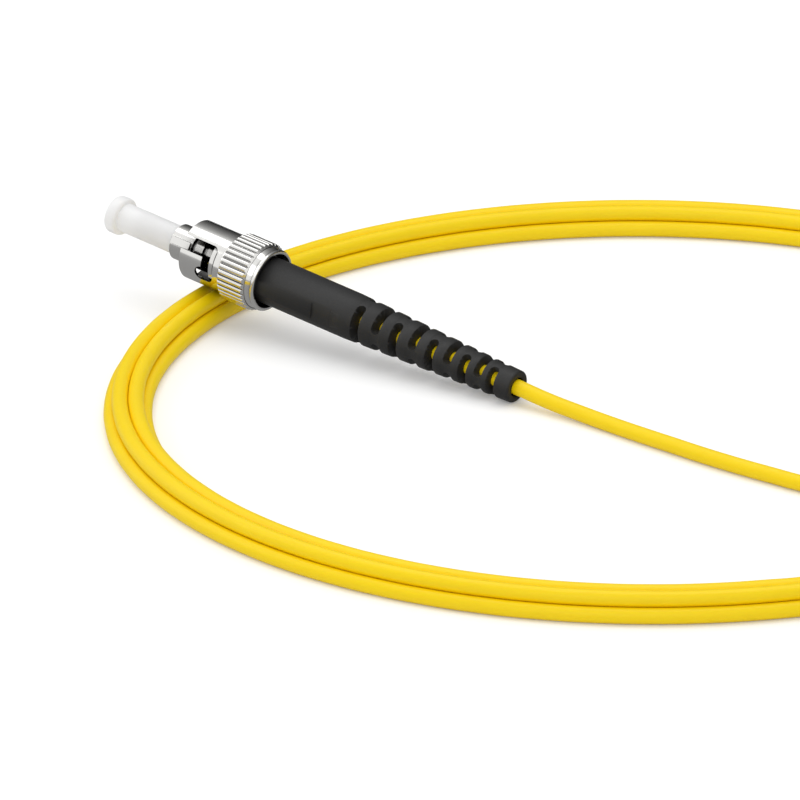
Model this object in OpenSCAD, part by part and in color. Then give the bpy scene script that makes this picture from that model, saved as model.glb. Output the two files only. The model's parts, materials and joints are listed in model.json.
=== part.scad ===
// ST bayonet fibre connector on a simplex patch lead, with its dust cap on.
// Each connector is drawn on its own axis: z = 0 at the front of the barrel,
// +z towards the cable, and -y the side with the key.  Lengths are in mm.

/* [Cable] */
// Outside diameter of the cable jacket
cable_d = 2.0; // [1.6:0.1:3.0]
// Wall of the cable jacket
jacket_wall = 0.24; // [0.2:0.02:0.4]
// Diameter of the tight buffer round the fibre
buffer_d = 0.9; // [0.6:0.05:0.9]
// Diameter of the glass fibre
fibre_d = 0.125; // [0.1:0.005:0.15]
// Mean radius of the coil, at the middle of its bundle
coil_mean_r = 63.5; // [50:0.5:80]

/* [Dust cap] */
// Outside diameter of the cap's tube
cap_d = 3.7; // [3.4:0.1:4.2]
// Diameter of the flange that the fingers pull
cap_flange_d = 4.9; // [4.4:0.1:6]
// Thickness of that flange
cap_flange_t = 1.7; // [1:0.1:2.5]
// Length of the whole cap
cap_length = 10.5; // [9:0.5:14]
// Rounding of the flange's edges
cap_round = 0.4; // [0.1:0.05:0.6]

/* [Ferrule] */
// Diameter of the ceramic ferrule
ferrule_d = 2.5; // [2.5:0.01:2.5]
// Length of the ferrule
ferrule_length = 12.5; // [10.5:0.5:13]
// How far the ferrule stands out of the barrel
ferrule_out = 4.9; // [4:0.1:6]

/* [Barrel] */
// Diameter of the barrel that carries the key
barrel_d = 4.65; // [4.4:0.05:4.8]
// Width of the key
key_width = 0.9; // [0.7:0.1:1.2]
// Height of the key above the barrel
key_height = 0.22; // [0.1:0.02:0.4]
// Length of the key
key_length = 2.9; // [2:0.1:3]
// Turn of the key up from the side, in degrees
key_turn = 27; // [0:1:60]
// Depth of the two grooves round the barrel
groove_depth = 0.32; // [0.1:0.02:0.5]
// Diameter of the flange that the spring pushes on
flange_d = 6.7; // [6:0.1:6.8]

/* [Coupling nut] */
// Outside diameter of the nut's smooth sleeve
sleeve_d = 7.75; // [7.6:0.05:8]
// Wall of the smooth sleeve
sleeve_wall = 0.33; // [0.3:0.01:0.4]
// Length of the nut
nut_length = 12.1; // [11:0.1:13]
// Diameter over the knurl's ribs
knurl_d = 8.9; // [8.4:0.1:9.6]
// Length of the knurl
knurl_length = 4.3; // [3:0.1:5]
// Number of ribs in the knurl
knurl_ribs = 36; // [24:2:48]
// Diameter of the rear collar
collar_d = 8.1; // [7.8:0.1:8.4]
// Width of the bayonet slots
slot_width = 1.9; // [1.7:0.05:2]
// Turn of the bayonet slots' way in, in degrees
slot_turn = 34.5; // [20:0.5:50]
// Angle that the nut turns to lock
lock_angle = 48; // [40:1:60]
// How far the nut pushes forward against its spring
push_travel = 1.4; // [1:0.1:1.6]

/* [Spring] */
// Diameter of the spring's wire
wire_d = 0.45; // [0.3:0.05:0.5]
// Number of turns
spring_turns = 4.5; // [3.5:0.5:5.5]

/* [Boot] */
// Diameter of the boot at the nut
boot_d = 6.0; // [5.4:0.1:6.4]
// Diameter of the boot's tail
tail_d = 4.2; // [3.8:0.1:5]
// Where the boot starts to taper, from the barrel's front
taper_start = 28; // [24:0.5:32]
// Length of one slot along the boot
vent_width = 1.05; // [0.8:0.05:1.3]
// Angle that one slot runs round the boot
vent_angle = 134; // [110:2:140]
// Side of the small square recess
panel_side = 3.1; // [2:0.1:4]
// Depth of that recess
panel_depth = 0.25; // [0.1:0.05:0.4]

/* [Hidden] */
$fn = 72;
clear = 0.05;          // between pieces that slide or butt
rest_gap = 0.3;        // under the nut, over the coil
end = 54;              // rear end of the boot
fibre_r = fibre_d / 2;
buffer_r = buffer_d / 2;
cable_r = cable_d / 2;
jacket_bore_r = cable_r - jacket_wall;

// Nut, from front to rear
nut_front = 2.9;
nut_rear = nut_front + nut_length;
sleeve_r = sleeve_d / 2;
nut_bore_r = sleeve_r - sleeve_wall;
collar_length = 1.3;            // behind the knurl
knurl_rear = nut_rear - collar_length;
knurl_front = knurl_rear - knurl_length;
rib_height = 0.25;
knurl_base_r = knurl_d / 2 - rib_height;
collar_bore_r = 3.6;
collar_bore_depth = 2;
nut_wall = 0.6;
nut_wall_rear = nut_rear - collar_bore_depth;
nut_wall_front = nut_wall_rear - nut_wall;
nut_wall_bore_r = 2.75;
lock_z = nut_front + 4.5;       // middle of the slot's cross run
hook_depth = 0.9;               // how far the locked pin comes forward

// Body inside the nut: the spring is almost solid when the nut is pushed home
washer_t = 0.45;
washer_front = nut_wall_front - clear - washer_t;
flange_t = 0.6;
spring_spare = 0.125;
spring_solid = wire_d * (spring_turns + 1);
spring_front = washer_front - spring_solid - push_travel - spring_spare;
flange_front = spring_front - flange_t;
grooves = [[3.4, 4], [5.2, 5.9]];   // front and rear of the barrel's grooves
groove_slope = 0.1;
post_r = 2.2;
post_rear = nut_wall_rear + 0.9;
clip_t = 0.4;
clip_groove_r = 1.9;
clip_r = 3.25;
ferrule_rear = ferrule_length - ferrule_out;
ferrule_funnel = 4;             // depth of the ferrule's way in for the buffer
stem_r = 1.6;
stem_front = ferrule_rear + 1.4;

// Crimp end
shoulder_r = 2.38;
shoulder_rear = post_rear + 1.5;
neck_r = 1.6;
neck_ridge = 0.1;
neck_rear = shoulder_rear + 5.2;
yarn_t = 0.15;
yarn_r = neck_r + neck_ridge + yarn_t;
crimp_wall = 0.35;
crimp_bore_r = yarn_r + clear;
crimp_r = crimp_bore_r + crimp_wall;
crimp_step = neck_rear + 0.2;
jacket_front = neck_rear + 1.8;
crimp_rear = jacket_front + 2.2;

// Boot
boot_r = boot_d / 2;
tail_r = tail_d / 2;
boot_front = nut_rear - 1.25;
boot_bore_r = crimp_r + 0.12;
cable_bore_r = cable_r + 0.08;
tail_mouth_r = cable_r + 0.25;
edge_round = 0.3;
panel_z = 25;
// Slot rings: the first of each pair opens to the sides, the next up and down
vents = [30.3, 33.4, 36.2, 39.1, 41.8, 44.5, 46.9, 49.2, 51.2];

// Coil: three turns on the floor and two in the grooves between them
row_rise = cable_d * sin(60);
coil_height = cable_d + row_rise;
coil_centre = [47, 6.2];

// The nut rests over the coil and the boot's tail on the floor
cap_front = -clear - cap_length;
cross_x = coil_centre[0] - sqrt(pow(coil_mean_r, 2) - pow(coil_centre[1], 2));
half_length = (end - cap_front) / 2;
lean = asin((coil_height + rest_gap + sleeve_r - tail_r) / (half_length - cross_x));
lift = coil_height + rest_gap + sleeve_r / cos(lean) - tail_r * cos(lean);
tilt = asin(lift * cos(lean) / (half_length * cos(lean) - cross_x));
tail_x = half_length * cos(tilt) + (cap_flange_d / 2 - tail_r) * sin(tilt) / 2;
tail_z = tail_r * cos(tilt);

// The far connector lies on its knurl and its tail, beside the coil
far_tail = [121, 12];
far_tilt = atan((knurl_d / 2 - tail_r) / (end - knurl_rear));
far_tail_z = tail_r * cos(far_tilt);

// Routes of the two free stretches of cable, from the near boot into the
// coil, and from the top of the coil to the far boot
near_route = [
    [37, -0.1, 1.5], [42, -0.2, 1.15], [47, -0.5, 1], [52, -0.9, 1], [57, -1.2, 1],
    [62, -1.5, 1], [67, -1.6, 1], [72, -1.5, 1], [77, -1.3, 1], [82, -0.4, 1],
    [86.6, 1.4, 1], [90.7, 4.1, 1], [94.2, 7.6, 1], [97.2, 11.5, 1], [99.4, 16, 1],
    [100.6, 21, 1], [101, 26, 1], [100.6, 31, 1], [99.3, 35.8, 1], [97.2, 40.4, 1],
    [94.4, 44.9, 1], [91.1, 49.1, 1]
];
far_route = [
    [98.8, -28.8, 2.73], [101.7, -24.6, 3.6], [104.6, -20.5, 4.4], [107.4, -16.4, 4.75],
    [110.1, -12.5, 4.4], [112.6, -8.8, 2.9], [115, -5.1, 1.5], [117.3, -1.3, 1],
    [119.3, 2.8, 1], [120.5, 7.2, 1.4]
];

// ---- placing ---------------------------------------------------------------

module near_end() {
    translate([tail_x, 0, tail_z]) rotate([0, 90 + tilt, 0]) translate([0, 0, -end])
        children();
}

module far_end() {
    translate([far_tail[0], far_tail[1], far_tail_z]) rotate([0, 0, -90])
        rotate([0, 90 + far_tilt, 0]) translate([0, 0, -end]) children();
}

// A point on a connector's surface, turned up from the key's side by an angle
module turned(angle) {
    rotate([0, 0, 270 - angle]) children();
}

// A round cutter that points out from the axis
module radial_hole(angle, z, r, from, to) {
    turned(angle) translate([from, 0, z]) rotate([0, 90, 0]) cylinder(r=r, h=to - from);
}

// A ring cut round the axis from one angle down to another
module sector(high, low, z, width, from, to) {
    turned(high) rotate_extrude(angle=high - low)
        translate([from, z - width / 2]) square([to - from, width]);
}

module tube(front, rear, r_in, r_out) {
    translate([0, 0, front]) difference() {
        cylinder(r=r_out, h=rear - front);
        translate([0, 0, -1]) cylinder(r=r_in, h=rear - front + 2);
    }
}

// ---- dust cap and ferrule --------------------------------------------------

module dust_cap_shape() {
    r = cap_d / 2;
    flange_r = cap_flange_d / 2;
    bore_r = ferrule_d / 2 + 0.02;
    front = cap_front;
    flange_rear = front + cap_flange_t;
    mouth = -clear;
    color("white") difference() {
        rotate_extrude() union() {
            translate([0, front]) square([flange_r - cap_round, cap_flange_t]);
            translate([0, front + cap_round])
                square([flange_r, cap_flange_t - 2 * cap_round]);
            for (z = [front + cap_round, flange_rear - cap_round])
                translate([flange_r - cap_round, z]) circle(r=cap_round);
            translate([0, front]) square([r, mouth - front]);
        }
        translate([0, 0, -ferrule_out - 1]) cylinder(r=bore_r, h=ferrule_out + 2);
    }
}

module ferrule_shape() {
    r = ferrule_d / 2;
    chamfer = 0.35;
    color("ivory") difference() {
        rotate_extrude() polygon([
            [0, -ferrule_out], [r - chamfer, -ferrule_out],
            [r, -ferrule_out + 2 * chamfer], [r, ferrule_rear], [0, ferrule_rear]
        ]);
        translate([0, 0, -ferrule_out - 1]) cylinder(r=fibre_r, h=ferrule_length + 2);
        translate([0, 0, ferrule_rear - ferrule_funnel])
            cylinder(r=buffer_r + clear, h=ferrule_funnel + 1);
    }
}

module glass_fibre_shape() {
    color("lightcyan") translate([0, 0, -ferrule_out])
        cylinder(r=fibre_r, h=end + ferrule_out);
}

module buffer_tube_shape() {
    color("white") tube(ferrule_rear - ferrule_funnel + clear, end, fibre_r, buffer_r);
}

// ---- barrel, spring and what holds the nut ---------------------------------

module barrel_shape() {
    r = barrel_d / 2;
    flange_r = flange_d / 2;
    chamfer = 0.15;
    key_front = 0.3;
    bore_r = buffer_r + 0.3;
    color("silver") difference() {
        union() {
            rotate_extrude() polygon([
                [0, 0], [r - chamfer, 0], [r, chamfer],
                for (g = grooves) each [
                    [r, g[0]], [r - groove_depth, g[0] + groove_slope],
                    [r - groove_depth, g[1] - groove_slope], [r, g[1]]
                ],
                [r, flange_front], [flange_r, flange_front], [flange_r, spring_front],
                [post_r, spring_front], [post_r, post_rear], [0, post_rear]
            ]);
            turned(key_turn) translate([0, -key_width / 2, key_front])
                cube([r + key_height, key_width, key_length]);
        }
        translate([0, 0, -1]) cylinder(r=ferrule_d / 2, h=ferrule_rear + 1);
        translate([0, 0, 1]) cylinder(r=bore_r, h=stem_front);
        translate([0, 0, stem_front]) cylinder(r=stem_r, h=post_rear);
        tube(nut_wall_rear + clear, nut_wall_rear + clear + clip_t + clear,
             clip_groove_r, post_r + 1);
    }
}

// Height of the spring's wire after so many turns: the two end turns lie close
function coil_rise(turn, turns, length, close) =
    let (open = (length - 2 * close) / (turns - 2))
    turn < 1 ? turn * close :
    turn > turns - 1 ? length - (turns - turn) * close :
    close + (turn - 1) * open;

module spring_shape() {
    wire_r = wire_d / 2;
    mean_r = (post_r + nut_bore_r) / 2;
    steps = 18;
    sides = 8;
    gap = 0.02;
    length = washer_front - spring_front - wire_d - 2 * gap;
    count = round(spring_turns * steps);
    points = [
        for (i = [0:count], j = [0:sides - 1])
            let (turn = i / steps, a = 360 * turn, b = 360 * j / sides,
                 r = mean_r + wire_r * cos(b))
            [r * cos(a), r * sin(a), spring_front + gap + wire_r + wire_r * sin(b)
             + coil_rise(turn, spring_turns, length, wire_d + gap)]
    ];
    color("gray") swept(points, count + 1, sides);
}

module thrust_washer_shape() {
    color("gray")
        tube(washer_front, washer_front + washer_t, post_r + 0.15, nut_bore_r - 0.1);
}

module retaining_clip_shape() {
    front = nut_wall_rear + 1.5 * clear;
    color("gray") difference() {
        tube(front, front + clip_t, clip_groove_r + clear / 2, clip_r);
        translate([0, -clip_groove_r, front - 1]) cube([clip_r + 1, 2 * clip_groove_r, 3]);
    }
}

// ---- coupling nut ----------------------------------------------------------

// One bayonet slot: in from the front, round, and forward into the hook
module bayonet_slot(angle) {
    w = slot_width;
    from = nut_bore_r - 0.7;
    to = sleeve_r + 1;
    locked = angle - lock_angle;
    turned(angle) translate([from, -w / 2, nut_front - 1])
        cube([to - from, w, lock_z - nut_front + 1]);
    sector(angle, locked, lock_z, w, from, to);
    radial_hole(angle, lock_z, w / 2, from, to);
    radial_hole(locked, lock_z, w / 2, from, to);
    radial_hole(locked, lock_z - hook_depth, w / 2, from, to);
    turned(locked) translate([from, -w / 2, lock_z - hook_depth])
        cube([to - from, w, hook_depth]);
}

module knurl() {
    rib_r = 0.34;
    chamfer = 0.3;
    r = knurl_d / 2;
    intersection() {
        translate([0, 0, knurl_front]) linear_extrude(knurl_length) union() {
            circle(r=knurl_base_r);
            for (i = [0:knurl_ribs - 1])
                rotate(360 * i / knurl_ribs) translate([r - rib_r, 0])
                    circle(r=rib_r, $fn=24);
        }
        rotate_extrude() polygon([
            [0, knurl_front], [r - chamfer, knurl_front], [r, knurl_front + chamfer],
            [r, knurl_rear - chamfer], [r - chamfer, knurl_rear], [0, knurl_rear]
        ]);
    }
}

module coupling_nut_shape() {
    edge = 0.1;
    neck = 0.15;        // undercut between the sleeve and the knurl
    lip = 0.3;
    lip_r = collar_d / 2 - lip;
    color("silver") difference() {
        union() {
            rotate_extrude() union() {
                polygon([
                    [0, nut_front], [sleeve_r - edge, nut_front], [sleeve_r, nut_front + edge],
                    [sleeve_r, knurl_front - neck], [sleeve_r - neck, knurl_front - neck],
                    [sleeve_r - neck, knurl_rear], [collar_d / 2, knurl_rear],
                    [lip_r, nut_rear - 2 * lip], [lip_r, nut_rear], [0, nut_rear]
                ]);
                translate([lip_r, nut_rear - lip]) circle(r=lip);
            }
            knurl();
        }
        translate([0, 0, nut_front - 1])
            cylinder(r=nut_bore_r, h=nut_wall_front - nut_front + 1);
        translate([0, 0, nut_wall_front - 1]) cylinder(r=nut_wall_bore_r, h=nut_wall + 2);
        translate([0, 0, nut_wall_rear]) cylinder(r=collar_bore_r, h=nut_length);
        for (side = [0, 180]) bayonet_slot(slot_turn + side);
    }
}

// ---- crimp end -------------------------------------------------------------

module backbone_shape() {
    ridges = 5;
    pitch = (neck_rear - shoulder_rear - 0.6) / ridges;
    color("silver") difference() {
        union() {
            translate([0, 0, stem_front]) cylinder(r=stem_r, h=post_rear - stem_front);
            translate([0, 0, post_rear]) cylinder(r=shoulder_r, h=shoulder_rear - post_rear);
            translate([0, 0, shoulder_rear])
                cylinder(r=neck_r, h=neck_rear - shoulder_rear);
            for (i = [0:ridges - 1])
                translate([0, 0, shoulder_rear + 0.5 + i * pitch])
                    cylinder(r=neck_r + neck_ridge, h=pitch / 2);
        }
        translate([0, 0, stem_front - 1])
            cylinder(r=buffer_r + 0.15, h=neck_rear - stem_front + 2);
    }
}

// The yarn lies under the crimp sleeve and runs back inside the jacket
module aramid_yarn_shape() {
    front = shoulder_rear + 0.3;
    inner = buffer_r + 0.02;
    outer = jacket_bore_r - 0.01;
    bell = yarn_r - yarn_t;
    color("khaki") rotate_extrude() polygon([
        [bell, front], [yarn_r, front], [yarn_r, neck_rear + 0.1],
        [outer, jacket_front - 0.1], [outer, end], [inner, end],
        [inner, jacket_front - 0.1], [bell, neck_rear + 0.1]
    ]);
}

module crimp_sleeve_shape() {
    front = shoulder_rear + 0.1;
    small_bore_r = cable_r + 0.02;
    small_r = small_bore_r + crimp_wall;
    cone_rear = jacket_front + 0.2;
    color("silver") rotate_extrude() polygon([
        [crimp_bore_r, front], [crimp_r, front], [crimp_r, crimp_step],
        [small_r, cone_rear], [small_r, crimp_rear], [small_bore_r, crimp_rear],
        [small_bore_r, cone_rear], [crimp_bore_r, crimp_step]
    ]);
}

module cable_end_shape() {
    color("gold") tube(jacket_front, end, jacket_bore_r, cable_r);
}

// ---- boot ------------------------------------------------------------------

// Two slots opposite each other, with round ends, through to the cable's bore
module vent_pair(z, angle) {
    w = vent_width;
    from = cable_r;
    to = boot_r + 1;
    half = (vent_angle - w / tail_r * 180 / PI) / 2;
    for (side = [angle, angle + 180]) {
        sector(side + half, side - half, z, w, from, to);
        for (a = [side - half, side + half]) radial_hole(a, z, w / 2, from, to);
    }
}

module boot_shape() {
    cone_front = crimp_step + 0.3;
    cone_rear = jacket_front + 0.6;
    narrow_r = cable_r + crimp_wall + 0.15;
    narrow_rear = crimp_rear + 0.3;
    color("dimgray") difference() {
        rotate_extrude() union() {
            polygon([
                [0, boot_front], [boot_r - 0.2, boot_front], [boot_r, boot_front + 0.2],
                [boot_r, taper_start], [tail_r, end - edge_round], [0, end - edge_round]
            ]);
            translate([0, end - 2 * edge_round])
                square([tail_r - edge_round, 2 * edge_round]);
            translate([tail_r - edge_round, end - edge_round]) circle(r=edge_round);
        }
        rotate_extrude() polygon([
            [0, boot_front - 1], [boot_bore_r + 0.1, boot_front - 1],
            [boot_bore_r + 0.1, cone_front], [narrow_r, cone_rear],
            [narrow_r, narrow_rear], [cable_bore_r, narrow_rear + 1.2],
            [cable_bore_r, end - 0.8], [tail_mouth_r, end - 0.5],
            [tail_mouth_r, end + 1], [0, end + 1]
        ]);
        for (i = [0:len(vents) - 1]) vent_pair(vents[i], i % 2 == 0 ? 0 : 90);
        turned(0) translate([boot_r - panel_depth, -panel_side / 2, panel_z - panel_side / 2])
            cube([1, panel_side, panel_side]);
    }
}

// ---- cable -----------------------------------------------------------------

// Skin over rings of points, each with the same number of sides
module swept(points, rings, sides) {
    skin = [
        for (i = [0:rings - 2], j = [0:sides - 1])
            let (k = (j + 1) % sides)
            [i * sides + j, (i + 1) * sides + j, (i + 1) * sides + k, i * sides + k]
    ];
    first = [for (j = [0:sides - 1]) j];
    last = [for (j = [0:sides - 1]) rings * sides - 1 - j];
    polyhedron(points=points, faces=concat([first], skin, [last]));
}

function unit(v) = v / norm(v);

// Direction of a route at one of its points
function heading(route, i) =
    i == 0 ? unit(route[1] - route[0]) :
    i == len(route) - 1 ? unit(route[i] - route[i - 1]) :
    unit(route[i + 1] - route[i - 1]);

// A tube of the cable's size along a route, with flat sides down on the floor
module cable_along(route, start, finish) {
    sides = 8;
    r = cable_r / cos(180 / sides);
    points = [
        for (i = [0:len(route) - 1])
            let (along = i == 0 ? start : i == len(route) - 1 ? finish : heading(route, i),
                 across = unit(cross([0, 0, 1], along)), up = cross(along, across))
            for (j = [0:sides - 1])
                let (a = 360 * (j + 0.5) / sides)
                route[i] + r * (cos(a) * across + sin(a) * up)
    ];
    color("gold") swept(points, len(route), sides);
}

module cable_tail() {
    exit = [cos(tilt), 0, -sin(tilt)];
    start = [tail_x, 0, tail_z] + clear * exit;
    route = concat([start], near_route);
    cable_along(route, exit, heading(route, len(route) - 1));
}

module far_cable_tail() {
    entry = [0, cos(far_tilt), sin(far_tilt)];
    finish = [far_tail[0], far_tail[1], far_tail_z] - clear * entry;
    route = concat(far_route, [finish]);
    cable_along(route, heading(route, 0), entry);
}

module cable_coil() {
    d = cable_d;
    r = cable_r;
    fill = 0.5 * r;
    color("gold") translate([coil_centre[0], coil_centre[1], 0]) rotate_extrude($fn=180)
        union() {
            for (i = [-1:1]) translate([coil_mean_r + i * d, r]) circle(r=r, $fn=24);
            for (i = [-0.5:0.5])
                translate([coil_mean_r + i * d, r + row_rise]) circle(r=r, $fn=24);
            polygon([
                [coil_mean_r - d, r - fill], [coil_mean_r + d, r - fill],
                [coil_mean_r + d + fill, r], [coil_mean_r + r + fill, r + row_rise],
                [coil_mean_r + r, r + row_rise + fill],
                [coil_mean_r - r, r + row_rise + fill],
                [coil_mean_r - r - fill, r + row_rise], [coil_mean_r - d - fill, r]
            ]);
        }
}

// ---- drawing ---------------------------------------------------------------

near_end() dust_cap_shape();  // dust_cap
near_end() ferrule_shape();  // ferrule
near_end() glass_fibre_shape();  // glass_fibre
near_end() buffer_tube_shape();  // buffer_tube
near_end() barrel_shape();  // barrel
near_end() spring_shape();  // spring
near_end() thrust_washer_shape();  // thrust_washer
near_end() coupling_nut_shape();  // coupling_nut
near_end() retaining_clip_shape();  // retaining_clip
near_end() backbone_shape();  // backbone
near_end() aramid_yarn_shape();  // aramid_yarn
near_end() crimp_sleeve_shape();  // crimp_sleeve
near_end() cable_end_shape();  // cable_end
near_end() boot_shape();  // boot
far_end() dust_cap_shape();  // far_dust_cap
far_end() ferrule_shape();  // far_ferrule
far_end() glass_fibre_shape();  // far_glass_fibre
far_end() buffer_tube_shape();  // far_buffer_tube
far_end() barrel_shape();  // far_barrel
far_end() spring_shape();  // far_spring
far_end() thrust_washer_shape();  // far_thrust_washer
far_end() coupling_nut_shape();  // far_coupling_nut
far_end() retaining_clip_shape();  // far_retaining_clip
far_end() backbone_shape();  // far_backbone
far_end() aramid_yarn_shape();  // far_aramid_yarn
far_end() crimp_sleeve_shape();  // far_crimp_sleeve
far_end() cable_end_shape();  // far_cable_end
far_end() boot_shape();  // far_boot
cable_tail();
cable_coil();
far_cable_tail();
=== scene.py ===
import json
import math

import bmesh
import bpy
from bpy.props import FloatProperty, FloatVectorProperty, IntProperty, PointerProperty
from mathutils import Matrix, Vector


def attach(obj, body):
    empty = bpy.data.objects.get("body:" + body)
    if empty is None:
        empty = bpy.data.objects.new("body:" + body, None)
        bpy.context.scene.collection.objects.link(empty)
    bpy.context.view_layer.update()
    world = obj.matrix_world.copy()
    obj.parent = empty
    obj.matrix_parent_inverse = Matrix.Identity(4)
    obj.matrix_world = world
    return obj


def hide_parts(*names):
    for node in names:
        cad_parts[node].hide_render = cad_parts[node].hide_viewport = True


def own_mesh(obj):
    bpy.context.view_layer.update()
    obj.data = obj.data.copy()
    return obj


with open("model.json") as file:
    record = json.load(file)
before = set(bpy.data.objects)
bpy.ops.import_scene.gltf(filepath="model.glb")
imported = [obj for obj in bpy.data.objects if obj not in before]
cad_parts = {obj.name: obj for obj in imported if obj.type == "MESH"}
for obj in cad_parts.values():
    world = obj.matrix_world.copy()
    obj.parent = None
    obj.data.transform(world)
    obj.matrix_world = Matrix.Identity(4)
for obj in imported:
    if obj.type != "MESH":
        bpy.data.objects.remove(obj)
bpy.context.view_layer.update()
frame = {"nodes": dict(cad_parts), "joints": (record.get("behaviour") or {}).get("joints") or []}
NODES = frame["nodes"]
JOINTS = {joint["name"]: joint for joint in frame["joints"]}

bl_info = {
    "name": "Bayonet fibre connector",
    "version": (1, 0, 0),
    "blender": (4, 5, 0),
    "location": "3D View > Sidebar > Fibre lead",
    "description": "Dresses a bayonet fibre connector and its coiled lead",
    "category": "Object",
}

MM = 0.001
# Stations along a connector, from the front of its barrel towards the cable
TURN_STATION = 8 * MM
SPRING_FRONT = 7.9 * MM
SPRING_REAR = 11.9 * MM
BOOT_REAR = 54 * MM
# Boot: its taper, and the stations, size and turn of its slots and waists.  A slot
# is wider at its mouth than at its foot, and so is a waist
BOOT_RADIUS = 3 * MM
BOOT_TAIL_RADIUS = 2.1 * MM
TAPER_START = 28 * MM
VENTS = [v * MM for v in (30.3, 33.4, 36.2, 39.1, 41.8, 44.5, 46.9, 49.2, 51.2)]
SLOT_HALF = 0.675 * MM
SLOT_ANGLE = 150
SLOT_TURN = 8
SLOT_FOOT = 1.03 * MM
SLOT_FOOT_HALF = 0.45 * MM
FLUTE_DEPTH = 0.09 * MM
FLUTE_FOOT = 0.66 * MM
FLUTE_MOUTH = 1.2 * MM
FLUTE_RISE = 0.3 * MM       # the waists' and slots' cutters stand out of the boot
SLOT_RISE = 0.2 * MM
SLOT_STEPS = 48
ROUND_END_MIN = 0.12        # a slot's last slice, as a share of its width

# The two free stretches of cable, as the solid part has them
NEAR_ROUTE = [
    (0.037, -0.0001, 0.0015), (0.042, -0.0002, 0.00115), (0.047, -0.0005, 0.001),
    (0.052, -0.0009, 0.001), (0.057, -0.0012, 0.001), (0.062, -0.0015, 0.001),
    (0.067, -0.0016, 0.001), (0.072, -0.0015, 0.001), (0.077, -0.0013, 0.001),
    (0.082, -0.0004, 0.001), (0.0866, 0.0014, 0.001), (0.0907, 0.0041, 0.001),
    (0.0942, 0.0076, 0.001), (0.0972, 0.0115, 0.001), (0.0994, 0.016, 0.001),
    (0.1006, 0.021, 0.001), (0.101, 0.026, 0.001), (0.1006, 0.031, 0.001),
    (0.0993, 0.0358, 0.001), (0.0972, 0.0404, 0.001), (0.0944, 0.0449, 0.001),
    (0.0911, 0.0491, 0.001),
]
FAR_ROUTE = [
    (0.0988, -0.0288, 0.00273), (0.1017, -0.0246, 0.0036), (0.1046, -0.0205, 0.0044),
    (0.1074, -0.0164, 0.00475), (0.1101, -0.0125, 0.0044), (0.1126, -0.0088, 0.0029),
    (0.115, -0.0051, 0.0015), (0.1173, -0.0013, 0.001), (0.1193, 0.0028, 0.001),
    (0.1205, 0.0072, 0.0014),
]
# Camera: what it aims at, its distance and angles, and its lens on a 36 mm sensor
AIM = Vector((0.020087, -0.008189, 0))
CAMERA_DISTANCE = 1.5
AZIMUTH = math.radians(38.2)
ELEVATION = math.radians(21.895)
LENS = 546.7
LAMP_AIM = Vector((0.02, 0, 0))
# Light of the white tent, glow of the paper where it is seen, and how late the
# cards turn from their dark edge to their light one
TENT_LIGHT = 0.62
PAPER_GLOW = 0.16
CARD_FALLOFF = 1.3

COIL_CENTRE = Vector((0.047, 0.0062, 0.0))
LAP_START = -34.0       # where a lap of the coil starts and ends, in degrees
LAP_END = 326.0
JOIN_ANGLE = 50.0       # where the cable from the near boot is in its place
LAP_STEP = 6.0
END_HANDLE = 1.6 * MM   # how far the cable leaves a boot straight along its axis


def linear(code):
    """An sRGB hex colour as linear RGBA."""
    parts = [int(code[i:i + 2], 16) / 255 for i in (1, 3, 5)]
    return (*[p / 12.92 if p <= 0.04045 else ((p + 0.055) / 1.055) ** 2.4 for p in parts], 1.0)


def axis_of(end):
    """Front of a connector's barrel, and its direction towards the cable."""
    turn = JOINTS[end + "nut_turn"]
    along = Vector(turn["axis"]).normalized()
    return Vector(turn["pos_m"]) - along * TURN_STATION, along


def ease(value, low, high):
    t = min(max((value - low) / (high - low), 0.0), 1.0)
    return t * t * (3 - 2 * t)


# ---- properties ---------------------------------------------------------------

class LeadSizes(bpy.types.PropertyGroup):
    cable_diameter: FloatProperty(
        name="Cable diameter", description="Outside diameter of the jacket",
        default=0.002, min=0.0016, max=0.003, precision=4, unit="LENGTH", subtype="DISTANCE")
    coil_radius: FloatProperty(
        name="Coil radius", description="Radius at the middle of the coil's bundle",
        default=0.0635, min=0.05, max=0.08, precision=4, unit="LENGTH", subtype="DISTANCE")
    wire_diameter: FloatProperty(
        name="Wire diameter", description="Diameter of the spring's wire",
        default=0.00045, min=0.0003, max=0.0005, precision=5, unit="LENGTH",
        subtype="DISTANCE")
    spring_radius: FloatProperty(
        name="Spring radius", description="Mean radius of the spring",
        default=0.0028725, min=0.0025, max=0.0032, precision=5, unit="LENGTH",
        subtype="DISTANCE")
    spring_turns: FloatProperty(
        name="Spring turns", description="Number of turns of the spring",
        default=4.5, min=3.5, max=5.5)
    cable_sides: IntProperty(
        name="Cable smoothness", description="Rings of faces on half of the cable's round",
        default=6, min=2, max=12)


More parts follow.
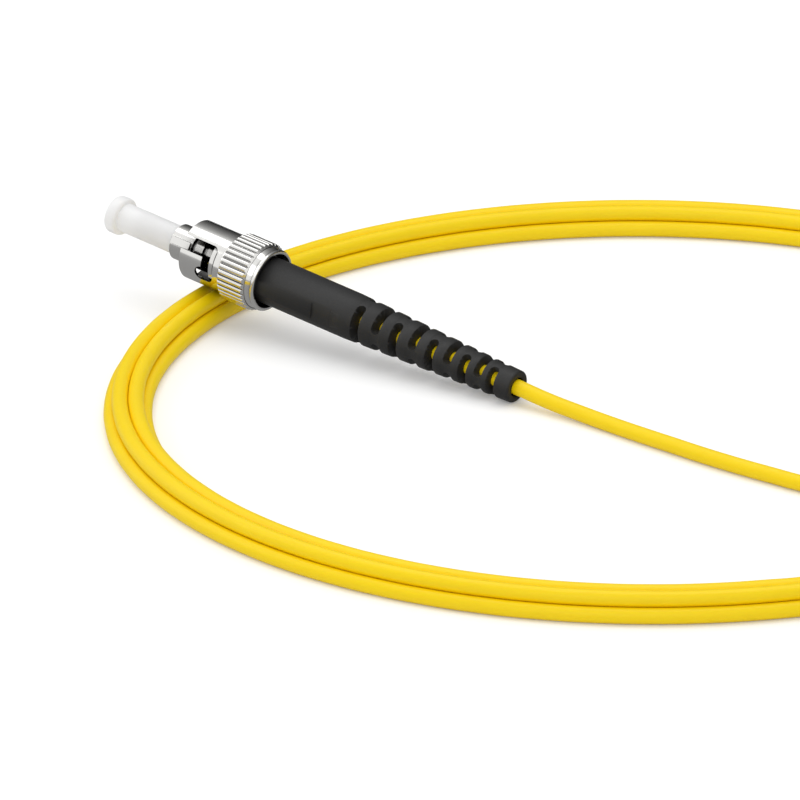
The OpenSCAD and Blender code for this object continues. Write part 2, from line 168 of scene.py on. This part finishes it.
class LeadColours(bpy.types.PropertyGroup):
    jacket: FloatVectorProperty(
        name="Jacket", description="Yellow of the cable's jacket", subtype="COLOR", size=4,
        min=0, max=1, default=linear("#FFDB00"))
    boot: FloatVectorProperty(
        name="Boot", description="Black of the moulded boot", subtype="COLOR", size=4,
        min=0, max=1, default=linear("#222222"))
    nickel: FloatVectorProperty(
        name="Nickel", description="Bright nickel plate", subtype="COLOR", size=4,
        min=0, max=1, default=linear("#E8E7E4"))
    steel: FloatVectorProperty(
        name="Steel", description="Stainless wire and strip", subtype="COLOR", size=4,
        min=0, max=1, default=linear("#C4C3C0"))
    cap: FloatVectorProperty(
        name="Dust cap", description="Unpigmented polyethylene", subtype="COLOR", size=4,
        min=0, max=1, default=linear("#FCFCFC"))
    zirconia: FloatVectorProperty(
        name="Ferrule", description="White zirconia", subtype="COLOR", size=4,
        min=0, max=1, default=linear("#F6F3EC"))
    buffer: FloatVectorProperty(
        name="Buffer", description="Nylon round the fibre", subtype="COLOR", size=4,
        min=0, max=1, default=linear("#F1EEE4"))
    aramid: FloatVectorProperty(
        name="Aramid", description="Gold of the aramid yarn", subtype="COLOR", size=4,
        min=0, max=1, default=linear("#D8B04A"))
    backdrop: FloatVectorProperty(
        name="Backdrop", description="White of the floor", subtype="COLOR", size=4,
        min=0, max=1, default=linear("#F2F2F2"))


# ---- materials ----------------------------------------------------------------

def add(tree, kind, sockets=None, **settings):
    """A node with its settings; a socket's value is a constant or another socket."""
    made = tree.nodes.new(kind)
    for name, value in settings.items():
        setattr(made, name, value)
    for name, value in (sockets or {}).items():
        if isinstance(value, bpy.types.NodeSocket):
            tree.links.new(value, made.inputs[name])
        else:
            made.inputs[name].default_value = value
    return made


def new_material(name):
    material = bpy.data.materials.new(name)
    material.use_nodes = True
    material.node_tree.nodes.clear()
    return material, material.node_tree


def finish_material(material, shader):
    add(material.node_tree, "ShaderNodeOutputMaterial", {"Surface": shader.outputs[0]})
    return material


def station_of(tree, end):
    """Distance along a connector's axis, from the front of its barrel."""
    front, along = axis_of(end)
    place = add(tree, "ShaderNodeTexCoord")
    rel = add(tree, "ShaderNodeVectorMath", {0: place.outputs["Object"], 1: front},
              operation="SUBTRACT")
    return add(tree, "ShaderNodeVectorMath", {0: rel.outputs[0], 1: along},
               operation="DOT_PRODUCT").outputs["Value"]


def grain(tree, size, detail=2.0, roughness=0.5):
    """Noise whose cells measure size, in metres."""
    place = add(tree, "ShaderNodeTexCoord")
    return add(tree, "ShaderNodeTexNoise", {
        "Vector": place.outputs["Object"], "Scale": 1 / size, "Detail": detail,
        "Roughness": roughness}).outputs["Fac"]


def spread(tree, source, low, high):
    """A 0 to 1 value as one from low to high."""
    return add(tree, "ShaderNodeMapRange", {
        "Value": source, "From Min": 0.3, "From Max": 0.7, "To Min": low,
        "To Max": high}).outputs[0]


def painted_shade_in_recesses(tree, colour, dark, reach, closed, open_from):
    """Painted shade: a colour that turns dark where surfaces within reach hide
    the surroundings: wholly below the openness closed, and not at all above open_from."""
    openness = add(tree, "ShaderNodeAmbientOcclusion", {"Distance": reach}, samples=8)
    share = add(tree, "ShaderNodeMapRange", {
        "Value": openness.outputs["AO"], "From Min": closed, "From Max": open_from})
    return add(tree, "ShaderNodeMix", {
        "Factor": share.outputs[0], 6: linear(dark), 7: colour},
        data_type="RGBA").outputs[2]


def seen_directly(tree):
    """1 where a surface is seen, mirrored or seen through glass, and 0 where it
    only gives light."""
    ray = add(tree, "ShaderNodeLightPath")
    ways = add(tree, "ShaderNodeMath", {
        0: ray.outputs["Is Camera Ray"], 1: ray.outputs["Is Glossy Ray"]}, operation="ADD")
    return add(tree, "ShaderNodeMath", {
        0: ways.outputs[0], 1: ray.outputs["Is Transmission Ray"]}, operation="ADD",
        use_clamp=True).outputs[0]


def shade(tree, source, colour, darker, lighter=1.0):
    """A colour that varies in brightness with a 0 to 1 value."""
    return add(tree, "ShaderNodeMix", {
        "Factor": source,
        6: tuple(c * darker for c in colour[:3]) + (1.0,),
        7: tuple(min(c * lighter, 1.0) for c in colour[:3]) + (1.0,)},
        data_type="RGBA").outputs[2]


def jacket_compound(colours):
    """Low-smoke polyolefin compound, extruded: an even satin skin with a faint
    orange peel from the die, so that highlights are broad and soft."""
    material, tree = new_material("extruded_low_smoke_jacket")
    peel = grain(tree, 0.9 * MM, 2.0)       # drawn coarser than the real 0.3 mm
    tone = grain(tree, 6 * MM, 2.0)
    bump = add(tree, "ShaderNodeBump", {
        "Height": peel, "Strength": 0.25, "Distance": 0.03 * MM})
    shader = add(tree, "ShaderNodeBsdfPrincipled", {
        "Base Color": shade(tree, tone, colours.jacket, 0.95, 1.02),
        "Roughness": spread(tree, peel, 0.38, 0.46), "IOR": 1.48,
        "Specular IOR Level": 0.3,
        "Subsurface Weight": 0.08, "Subsurface Radius": (1.0, 0.6, 0.1),
        "Subsurface Scale": 0.4 * MM, "Normal": bump.outputs[0]})
    return finish_material(material, shader)


def boot_elastomer(colours):
    """Thermoplastic elastomer, moulded in a spark-eroded tool: a fine matt grain
    that greys the black where light falls on it."""
    material, tree = new_material("moulded_tpe_boot")
    fine = grain(tree, 0.22 * MM, 3.0, 0.6)  # drawn coarser than the real 0.05 mm
    tone = grain(tree, 5 * MM, 2.0)
    bump = add(tree, "ShaderNodeBump", {
        "Height": fine, "Strength": 0.35, "Distance": 0.02 * MM})
    # painted shade: the corners of the slots and of the recess are darkened in the colour, as
    # they hold no light
    black = painted_shade_in_recesses(tree, shade(tree, tone, colours.boot, 0.9, 1.1),
                                 "#050505", 0.5 * MM, 0.35, 0.85)
    shader = add(tree, "ShaderNodeBsdfPrincipled", {
        "Base Color": black,
        "Roughness": spread(tree, fine, 0.5, 0.62), "IOR": 1.5,
        "Specular IOR Level": 0.4,
        "Normal": bump.outputs[0]})
    return finish_material(material, shader)


def nickel_plate(colours, end):
    """Brass turned on a lathe and nickel plated: bright, with the tool's faint
    rings left round the axis."""
    material, tree = new_material("nickel_plated_turned_brass" + ("_far" if end else ""))
    station = station_of(tree, end)
    rings = add(tree, "ShaderNodeTexNoise", {
        "W": station, "Scale": 1 / (0.12 * MM), "Detail": 1.0}, noise_dimensions="1D")
    haze = grain(tree, 1.5 * MM, 3.0)
    bump = add(tree, "ShaderNodeBump", {
        "Height": rings.outputs["Fac"], "Strength": 0.12, "Distance": 0.006 * MM})
    # painted shade and reflection: slots, gaps and the knurl's grooves mirror only more metal,
    # so their colour is painted dark
    bright = painted_shade_in_recesses(tree, shade(tree, haze, colours.nickel, 0.97, 1.0),
                                  "#1C1B1A", 2.2 * MM, 0.42, 0.82)
    shader = add(tree, "ShaderNodeBsdfPrincipled", {
        "Base Color": bright,
        "Metallic": 1.0, "Roughness": spread(tree, haze, 0.08, 0.14),
        "Normal": bump.outputs[0]})
    return finish_material(material, shader)


def drawn_steel(colours):
    """Stainless wire and strip, drawn and rolled: grey with a dull gloss."""
    material, tree = new_material("drawn_stainless_steel")
    marks = grain(tree, 0.3 * MM, 3.0)
    bump = add(tree, "ShaderNodeBump", {
        "Height": marks, "Strength": 0.15, "Distance": 0.005 * MM})
    shader = add(tree, "ShaderNodeBsdfPrincipled", {
        "Base Color": shade(tree, marks, colours.steel, 0.9, 1.0),
        "Metallic": 1.0, "Roughness": spread(tree, marks, 0.22, 0.32),
        "Normal": bump.outputs[0]})
    return finish_material(material, shader)


def cap_polyethylene(colours):
    """Low-density polyethylene, moulded without pigment: cloudy, so that light
    wanders through the wall and the ferrule glows through it."""
    material, tree = new_material("moulded_natural_polyethylene")
    cloud = grain(tree, 1.6 * MM, 2.0)
    fine = grain(tree, 0.3 * MM, 2.0)
    bump = add(tree, "ShaderNodeBump", {
        "Height": fine, "Strength": 0.15, "Distance": 0.01 * MM})
    shader = add(tree, "ShaderNodeBsdfPrincipled", {
        "Base Color": shade(tree, cloud, colours.cap, 0.98, 1.0),
        "Roughness": spread(tree, cloud, 0.36, 0.44), "IOR": 1.51,
        "Transmission Weight": 0.1, "Subsurface Weight": 0.8,
        "Subsurface Radius": (1.0, 1.0, 1.0), "Subsurface Scale": 1.2 * MM,
        "Normal": bump.outputs[0]})
    return finish_material(material, shader)


def ground_zirconia(colours):
    """Zirconia ceramic, ground and polished: dense white with a clear gloss."""
    material, tree = new_material("ground_zirconia")
    cloud = grain(tree, 0.8 * MM, 2.0)
    shader = add(tree, "ShaderNodeBsdfPrincipled", {
        "Base Color": shade(tree, cloud, colours.zirconia, 0.98, 1.0),
        "Roughness": spread(tree, cloud, 0.06, 0.12), "IOR": 2.15})
    return finish_material(material, shader)


def drawn_silica():
    """Silica glass, drawn into fibre: clear and fire polished."""
    material, tree = new_material("drawn_silica")
    cloud = grain(tree, 1 * MM, 1.0)
    shader = add(tree, "ShaderNodeBsdfPrincipled", {
        "Base Color": linear("#F4FAFC"), "Roughness": spread(tree, cloud, 0.0, 0.02),
        "IOR": 1.458, "Transmission Weight": 1.0})
    return finish_material(material, shader)


def extruded_nylon(colours):
    """Nylon, extruded tight round the fibre: milky with a soft gloss."""
    material, tree = new_material("extruded_nylon_buffer")
    cloud = grain(tree, 2 * MM, 2.0)
    shader = add(tree, "ShaderNodeBsdfPrincipled", {
        "Base Color": shade(tree, cloud, colours.buffer, 0.95, 1.0),
        "Roughness": spread(tree, cloud, 0.34, 0.42), "IOR": 1.53,
        "Subsurface Weight": 0.2, "Subsurface Scale": 0.3 * MM})
    return finish_material(material, shader)


def aramid_yarn(colours, end):
    """Aramid yarn, laid straight: gold filaments with a silky sheen."""
    material, tree = new_material("laid_aramid_yarn" + ("_far" if end else ""))
    front, along = axis_of(end)
    place = add(tree, "ShaderNodeTexCoord")
    rel = add(tree, "ShaderNodeVectorMath", {0: place.outputs["Object"], 1: front},
              operation="SUBTRACT")
    # filaments stay the same along the axis, so its share is cut to a fiftieth
    share = add(tree, "ShaderNodeVectorMath", {0: rel.outputs[0], 1: along},
                operation="DOT_PRODUCT")
    back = add(tree, "ShaderNodeVectorMath", {0: along, "Scale": share.outputs["Value"]},
               operation="SCALE")
    cut = add(tree, "ShaderNodeVectorMath", {0: back.outputs[0], "Scale": -0.98},
              operation="SCALE")
    flat = add(tree, "ShaderNodeVectorMath", {0: rel.outputs[0], 1: cut.outputs[0]},
               operation="ADD")
    strands = add(tree, "ShaderNodeTexNoise", {
        "Vector": flat.outputs[0], "Scale": 1 / (0.1 * MM), "Detail": 2.0})
    bump = add(tree, "ShaderNodeBump", {
        "Height": strands.outputs["Fac"], "Strength": 0.6, "Distance": 0.03 * MM})
    shader = add(tree, "ShaderNodeBsdfPrincipled", {
        "Base Color": shade(tree, strands.outputs["Fac"], colours.aramid, 0.7, 1.05),
        "Roughness": 0.45, "IOR": 1.6, "Sheen Weight": 0.3, "Normal": bump.outputs[0]})
    return finish_material(material, shader)


def seamless_paper(colours):
    """Studio background paper, laid flat: white with a faint tooth. It glows a
    little where it is seen, so that open floor is white and shadows stay."""
    material, tree = new_material("white_background_paper")
    tooth = grain(tree, 3 * MM, 2.0)
    glow = add(tree, "ShaderNodeMath", {0: seen_directly(tree), 1: PAPER_GLOW},
               operation="MULTIPLY")
    shader = add(tree, "ShaderNodeBsdfPrincipled", {
        "Base Color": shade(tree, tooth, colours.backdrop, 0.995, 1.0),
        "Roughness": 0.9, "Specular IOR Level": 0.0,
        "Emission Color": (1, 1, 1, 1), "Emission Strength": glow.outputs[0]})
    return finish_material(material, shader)


def painted_reflection_card(name, low, high):
    """Painted reflection: a glowing card, from a dark edge to a light one, that only
    mirror rays see; metal shows it as a soft dark band instead of plain white."""
    material, tree = new_material(name)
    place = add(tree, "ShaderNodeTexCoord")
    across = add(tree, "ShaderNodeSeparateXYZ", {0: place.outputs["Generated"]})
    late = add(tree, "ShaderNodeMath", {0: across.outputs["Y"], 1: CARD_FALLOFF},
               operation="POWER")
    tone = add(tree, "ShaderNodeMix", {
        "Factor": late.outputs[0], 6: linear(low), 7: linear(high)}, data_type="RGBA")
    shader = add(tree, "ShaderNodeEmission", {"Color": tone.outputs[2], "Strength": 1.0})
    return finish_material(material, shader)


def wear(material, *names):
    for name in names:
        slots = NODES[name].data.materials
        slots.clear()
        slots.append(material)


# ---- stage ----------------------------------------------------------------------

def stage_plane(name, material, place, size, turn=(0, 0, 0)):
    mesh = bpy.data.meshes.new(name)
    w, h = size[0] / 2, size[1] / 2
    mesh.from_pydata([(-w, -h, 0), (w, -h, 0), (w, h, 0), (-w, h, 0)], [], [(0, 1, 2, 3)])
    mesh.materials.append(material)
    plane = bpy.data.objects.new(name, mesh)
    bpy.context.scene.collection.objects.link(plane)
    plane.location = place
    plane.rotation_euler = turn
    return plane


class FIBRE_OT_stage(bpy.types.Operator):
    """Sets the camera, the lamps, the white floor and the flags"""
    bl_idname = "fibre.stage"
    bl_label = "Stage"

    def execute(self, context):
        scene = context.scene
        # camera: from the right, at a low angle
        back = Vector((math.sin(AZIMUTH) * math.cos(ELEVATION),
                       -math.cos(AZIMUTH) * math.cos(ELEVATION), math.sin(ELEVATION)))
        camera = bpy.data.objects.new("camera", bpy.data.cameras.new("camera"))
        scene.collection.objects.link(camera)
        camera.data.sensor_width = 36
        camera.data.lens = LENS
        camera.data.clip_start, camera.data.clip_end = 0.1, 20
        camera.location = AIM + back * CAMERA_DISTANCE
        camera.rotation_mode = "QUATERNION"
        camera.rotation_quaternion = (-back).to_track_quat("-Z", "Y")
        scene.camera = camera

        # world: even light, and plain white where it is seen or mirrored
        world = bpy.data.worlds.new("white_tent")
        world.use_nodes = True
        tree = world.node_tree
        tree.nodes.clear()
        strength = add(tree, "ShaderNodeMapRange", {
            "Value": seen_directly(tree), "To Min": TENT_LIGHT, "To Max": 1.0})
        glow = add(tree, "ShaderNodeBackground", {
            "Color": (1, 1, 1, 1), "Strength": strength.outputs[0]})
        add(tree, "ShaderNodeOutputWorld", {"Surface": glow.outputs[0]})
        scene.world = world

        # lamps: one wide softbox above and behind, weaker ones from the left and the front
        for name, place, size, power in (
            ("softbox_over", (-0.15, 0.25, 1.1), 1.2, 5.8),
            ("softbox_left", (-0.9, -0.5, 0.7), 0.6, 1.5),
            ("softbox_front", (0.6, -0.9, 0.7), 0.8, 2.2),
        ):
            lamp = bpy.data.lights.new(name, "AREA")
            lamp.shape, lamp.size, lamp.energy = "SQUARE", size, power
            holder = bpy.data.objects.new(name, lamp)
            scene.collection.objects.link(holder)
            holder.location = place
            holder.rotation_mode = "QUATERNION"
            way = LAMP_AIM - holder.location
            holder.rotation_quaternion = way.to_track_quat("-Z", "Y")

        colours = scene.lead_colours
        stage_plane("floor", seamless_paper(colours), (0, 0, -0.01 * MM), (9, 9))
        # two glowing cards that only mirror rays see, painted reflections for the metal: one
        # stands behind, one lies below
        cards = (
            ("card_behind", "#0A0A0A", "#FFFFFF", (-0.25, 0.12, 0.21), (1.3, 0.42), 90),
            ("card_below", "#F0F0F0", "#7A7A7A", (0.0, -0.25, 0.0002), (1.6, 0.7), 0),
        )
        for name, low, high, place, size, turn in cards:
            card = stage_plane(name, painted_reflection_card(name, low, high), place, size,
                               (math.radians(turn), 0, 0))
            card.visible_camera = card.visible_diffuse = card.visible_shadow = False
            card.visible_transmission = False
        scene.view_settings.view_transform = "Standard"
        return {"FINISHED"}


# ---- cable ----------------------------------------------------------------------

def lap_place(lap, angle, d):
    """Offset from the coil's mean radius and height of the cable on one lap.

    Three laps lie side by side on the floor and two in the grooves between them.
    Each lap takes its place just after the start: the floor laps slide outwards,
    the fourth rolls up round the middle one, and the fifth rolls over it."""
    rise = d * math.sin(math.radians(60))
    floor = [(-d, d / 2), (0.0, d / 2), (d, d / 2)]
    if lap == 0:
        return floor[0]
    if lap < 3:
        before, after = floor[lap - 1][0], floor[lap][0]
        return before + (after - before) * ease(angle, 6, 30), d / 2
    if lap == 3:
        roll = math.radians(60 * ease(angle, -4, 14))
    else:
        roll = math.radians(60 + 60 * ease(angle, -20, -2))
    # the floor laps pass under the upper ones, which ride over them
    bump = math.sin(math.pi * min(max((angle - 6) / 24, 0), 1)) ** 2 * (d - rise)
    return d * math.cos(roll), d / 2 + d * math.sin(roll) + bump


def cable_points(sizes):
    """The whole cable's centreline, from the near boot to the far one."""
    d = sizes.cable_diameter
    front, along = axis_of("")
    far_front, far_along = axis_of("far_")
    points = [front + along * BOOT_REAR] + [Vector(p) for p in NEAR_ROUTE]
    for lap in range(5):
        start = JOIN_ANGLE if lap == 0 else LAP_START
        count = round((LAP_END - start) / LAP_STEP)
        for i in range(count):
            angle = start + (LAP_END - start) * i / count
            offset, height = lap_place(lap, angle, d)
            a = math.radians(angle)
            points.append(COIL_CENTRE + (sizes.coil_radius + offset) * Vector(
                (math.cos(a), math.sin(a), 0)) + Vector((0, 0, height)))
    return points + [Vector(p) for p in FAR_ROUTE] + [far_front + far_along * BOOT_REAR]


class FIBRE_OT_cable(bpy.types.Operator):
    """Lays the cable from the near boot, round its coil, to the far boot"""
    bl_idname = "fibre.cable"
    bl_label = "Cable"

    def execute(self, context):
        sizes, colours = context.scene.lead_sizes, context.scene.lead_colours
        points = cable_points(sizes)
        data = bpy.data.curves.new("patch_cable", "CURVE")
        data.dimensions = "3D"
        data.resolution_u = 6
        data.bevel_depth = sizes.cable_diameter / 2
        data.bevel_resolution = sizes.cable_sides
        data.use_fill_caps = True
        spline = data.splines.new("BEZIER")
        spline.bezier_points.add(len(points) - 1)
        for point, place in zip(spline.bezier_points, points):
            point.co = place
            point.handle_left_type = point.handle_right_type = "AUTO"
        ends = ((spline.bezier_points[0], axis_of("")[1]),
                (spline.bezier_points[-1], -axis_of("far_")[1]))
        for point, way in ends:
            point.handle_left_type = point.handle_right_type = "FREE"
            point.handle_left = point.co - way * END_HANDLE
            point.handle_right = point.co + way * END_HANDLE
        data.materials.append(jacket_compound(colours))
        cable = bpy.data.objects.new("patch_cable", data)
        context.scene.collection.objects.link(cable)
        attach(cable, "connector")
        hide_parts("cable_tail", "cable_coil", "far_cable_tail")
        hidden = ("far_cable_tail", "far_spring", "far_boot")
        on_it = [NODES[n] for n in sorted(NODES) if n.startswith("far_") and n not in hidden]
        on_it += [bpy.data.objects["far_spring_wire"], bpy.data.objects["far_fluted_boot"]]
        wear(bpy.data.materials["extruded_low_smoke_jacket"], "cable_end", "far_cable_end")
        return {"FINISHED"}


# ---- springs ----------------------------------------------------------------------

def spring_height(turn, turns, length, close):
    """Rise of the wire after so many turns: the two end turns lie close."""
    if turn < 1:
        return turn * close
    if turn > turns - 1:
        return length - (turns - turn) * close
    return close + (turn - 1) * (length - 2 * close) / (turns - 2)


class FIBRE_OT_springs(bpy.types.Operator):
    """Winds the coupling springs; in the real connector they shorten as the nuts are pushed home
    """
    bl_idname = "fibre.springs"
    bl_label = "Springs"

    def execute(self, context):
        sizes, colours = context.scene.lead_sizes, context.scene.lead_colours
        steel = drawn_steel(colours)
        wire = sizes.wire_diameter / 2
        steps, sides, gap = 48, 16, 0.02 * MM
        turns = sizes.spring_turns
        length = SPRING_REAR - SPRING_FRONT - 2 * wire - 2 * gap
        for end in ("", "far_"):
            front, along = axis_of(end)
            tilt = Vector((0, 0, 1)).rotation_difference(along).to_matrix().to_4x4()
            place = Matrix.Translation(front) @ tilt
            shape = bmesh.new()
            rings = []
            for i in range(round(turns * steps) + 1):
                turn = i / steps
                a = 2 * math.pi * turn
                middle = SPRING_FRONT + gap + wire + spring_height(
                    turn, turns, length, 2 * wire + gap)
                ring = []
                for j in range(sides):
                    b = 2 * math.pi * j / sides
                    r = sizes.spring_radius + wire * math.cos(b)
                    ring.append(shape.verts.new(place @ Vector(
                        (r * math.cos(a), r * math.sin(a), middle + wire * math.sin(b)))))
                rings.append(ring)
            for one, two in zip(rings, rings[1:]):
                for j in range(sides):
                    k = (j + 1) % sides
                    shape.faces.new((one[j], two[j], two[k], one[k])).smooth = True
            shape.faces.new(rings[0])
            shape.faces.new(list(reversed(rings[-1])))
            bmesh.ops.recalc_face_normals(shape, faces=shape.faces)
            mesh = bpy.data.meshes.new(end + "spring_wire")
            shape.to_mesh(mesh)
            shape.free()
            mesh.materials.append(steel)
            spring = bpy.data.objects.new(end + "spring_wire", mesh)
            context.scene.collection.objects.link(spring)
            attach(spring, "connector")
            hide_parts(end + "spring")
            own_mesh(spring)
            wear(steel, end + "thrust_washer", end + "retaining_clip")
        return {"FINISHED"}


# ---- finishes of the solid pieces ---------------------------------------------------

class FIBRE_OT_metal(bpy.types.Operator):
    """Plates the nuts, barrels, backbones and crimp sleeves"""
    bl_idname = "fibre.metal"
    bl_label = "Plated metal"

    def execute(self, context):
        colours = context.scene.lead_colours
        for end in ("", "far_"):
            wear(nickel_plate(colours, end), end + "coupling_nut", end + "barrel",
                 end + "backbone", end + "crimp_sleeve")
        return {"FINISHED"}


def boot_radius(station):
    """Outside radius of the boot, which tapers from TAPER_START to its rear."""
    share = min(max((station - TAPER_START) / (BOOT_REAR - TAPER_START), 0.0), 1.0)
    return BOOT_RADIUS + (BOOT_TAIL_RADIUS - BOOT_RADIUS) * share


def side_frame(end):
    """Axes of a connector: out to the side with the recess, up, and along it."""
    along = axis_of(end)[1]
    side = along.cross(Vector((0, 0, 1))).normalized()
    return side, side.cross(along).normalized(), along


def ring_of_slices(shape, place, slices, closed):
    """Sweeps four-cornered slices (angle, corners) round an axis into a solid."""
    rings = []
    for angle, corners in slices:
        rings.append([shape.verts.new(place @ Vector(
            (r * math.cos(angle), r * math.sin(angle), z))) for r, z in corners])
    pairs = list(zip(rings, rings[1:])) + ([(rings[-1], rings[0])] if closed else [])
    for one, two in pairs:
        for j in range(4):
            k = (j + 1) % 4
            shape.faces.new((one[j], two[j], two[k], one[k]))
    if not closed:
        shape.faces.new(rings[0])
        shape.faces.new(list(reversed(rings[-1])))


def flute_cutter(place):
    """Shallow waists round the boot, one at each ring of slots."""
    shape = bmesh.new()
    outline = ((-FLUTE_FOOT, -FLUTE_DEPTH), (-FLUTE_MOUTH, FLUTE_RISE),
               (FLUTE_MOUTH, FLUTE_RISE), (FLUTE_FOOT, -FLUTE_DEPTH))
    for station in VENTS:
        corners = [(boot_radius(station + half) + rise, station + half)
                   for half, rise in outline]
        slices = [(math.radians(a), corners) for a in range(0, 360, 4)]
        ring_of_slices(shape, place, slices, True)
    return shape


def slot_cutter(place):
    """The boot's slots: through pairs with round ends, by turns at the sides and
    above and below."""
    shape = bmesh.new()
    for i, station in enumerate(VENTS):
        outer = boot_radius(station)
        end_angle = SLOT_HALF / outer
        for middle in (0, 180):
            centre = math.radians(middle + (0 if i % 2 == 0 else 90) - SLOT_TURN)
            reach = math.radians(SLOT_ANGLE / 2)
            slices = []
            for step in range(SLOT_STEPS + 1):
                a = -reach + 2 * reach * step / SLOT_STEPS
                over = max(abs(a) - (reach - end_angle), 0) / end_angle
                half = SLOT_HALF * max(math.sqrt(max(1 - over ** 2, 0)), ROUND_END_MIN)
                foot = half * SLOT_FOOT_HALF / SLOT_HALF
                slices.append((centre + a, [
                    (SLOT_FOOT, station - foot), (outer + SLOT_RISE, station - half),
                    (outer + SLOT_RISE, station + half), (SLOT_FOOT, station + foot)]))
            ring_of_slices(shape, place, slices, False)
    return shape


def fluted_boot(end, material):
    """The boot with its slots opened to full size and its waists."""
    front = axis_of(end)[0]
    side, up, along = side_frame(end)
    place = Matrix.Translation(front) @ Matrix((side, up, along)).transposed().to_4x4()
    mesh = NODES[end + "boot"].data.copy()
    mesh.transform(NODES[end + "boot"].matrix_world)
    boot = bpy.data.objects.new(end + "fluted_boot", mesh)
    bpy.context.scene.collection.objects.link(boot)
    weld = bmesh.new()
    weld.from_mesh(mesh)
    bmesh.ops.remove_doubles(weld, verts=weld.verts, dist=0.0005 * MM)
    weld.to_mesh(mesh)
    weld.free()
    for cutter in (flute_cutter(place), slot_cutter(place)):
        bmesh.ops.recalc_face_normals(cutter, faces=cutter.faces)
        cut_mesh = bpy.data.meshes.new("cutter")
        cutter.to_mesh(cut_mesh)
        cutter.free()
        tool = bpy.data.objects.new("cutter", cut_mesh)
        bpy.context.scene.collection.objects.link(tool)
        cut = boot.modifiers.new("cut", "BOOLEAN")
        cut.object, cut.operation, cut.solver = tool, "DIFFERENCE", "EXACT"
        graph = bpy.context.evaluated_depsgraph_get()
        result = bpy.data.meshes.new_from_object(boot.evaluated_get(graph))
        boot.modifiers.clear()
        boot.data = result
        bpy.data.objects.remove(tool)
    if len(boot.data.polygons) < len(mesh.polygons):
        raise RuntimeError("the boot lost its shape in a cut")
    for face in boot.data.polygons:
        face.use_smooth = True
    boot.data.set_sharp_from_angle(angle=math.radians(28))
    boot.data.materials.clear()
    boot.data.materials.append(material)
    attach(boot, "connector")
    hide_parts(end + "boot")


class FIBRE_OT_mouldings(bpy.types.Operator):
    """Opens and finishes the boots, and finishes the dust caps"""
    bl_idname = "fibre.mouldings"
    bl_label = "Boots and caps"

    def execute(self, context):
        colours = context.scene.lead_colours
        rubber = boot_elastomer(colours)
        wear(rubber, "boot", "far_boot")
        for end in ("", "far_"):
            fluted_boot(end, rubber)
        wear(cap_polyethylene(colours), "dust_cap", "far_dust_cap")
        return {"FINISHED"}


class FIBRE_OT_inside(bpy.types.Operator):
    """Finishes the ferrules, fibres, buffers and yarn"""
    bl_idname = "fibre.inside"
    bl_label = "Ferrules and fibre"

    def execute(self, context):
        colours = context.scene.lead_colours
        wear(ground_zirconia(colours), "ferrule", "far_ferrule")
        wear(drawn_silica(), "glass_fibre", "far_glass_fibre")
        wear(extruded_nylon(colours), "buffer_tube", "far_buffer_tube")
        for end in ("", "far_"):
            wear(aramid_yarn(colours, end), end + "aramid_yarn")
        return {"FINISHED"}


class FIBRE_PT_lead(bpy.types.Panel):
    """Steps that dress the lead, in order"""
    bl_idname = "FIBRE_PT_lead"
    bl_label = "Fibre lead"
    bl_space_type = "VIEW_3D"
    bl_region_type = "UI"
    bl_category = "Fibre lead"

    def draw(self, context):
        scene = context.scene
        for step in STEPS:
            self.layout.operator(step.bl_idname)
        for group in (scene.lead_sizes, scene.lead_colours):
            column = self.layout.column()
            for name in type(group).__annotations__:
                column.prop(group, name)


STEPS = (FIBRE_OT_stage, FIBRE_OT_springs, FIBRE_OT_mouldings, FIBRE_OT_cable,
         FIBRE_OT_metal, FIBRE_OT_inside)
CLASSES = (LeadSizes, LeadColours, *STEPS, FIBRE_PT_lead)


def register():
    for each in CLASSES:
        bpy.utils.register_class(each)
    bpy.types.Scene.lead_sizes = PointerProperty(type=LeadSizes)
    bpy.types.Scene.lead_colours = PointerProperty(type=LeadColours)


def unregister():
    del bpy.types.Scene.lead_colours
    del bpy.types.Scene.lead_sizes
    for each in reversed(CLASSES):
        bpy.utils.unregister_class(each)


def main():
    register()
    for step in STEPS:
        module, name = step.bl_idname.split(".")
        getattr(getattr(bpy.ops, module), name)()


if __name__ == "__main__":
    main()
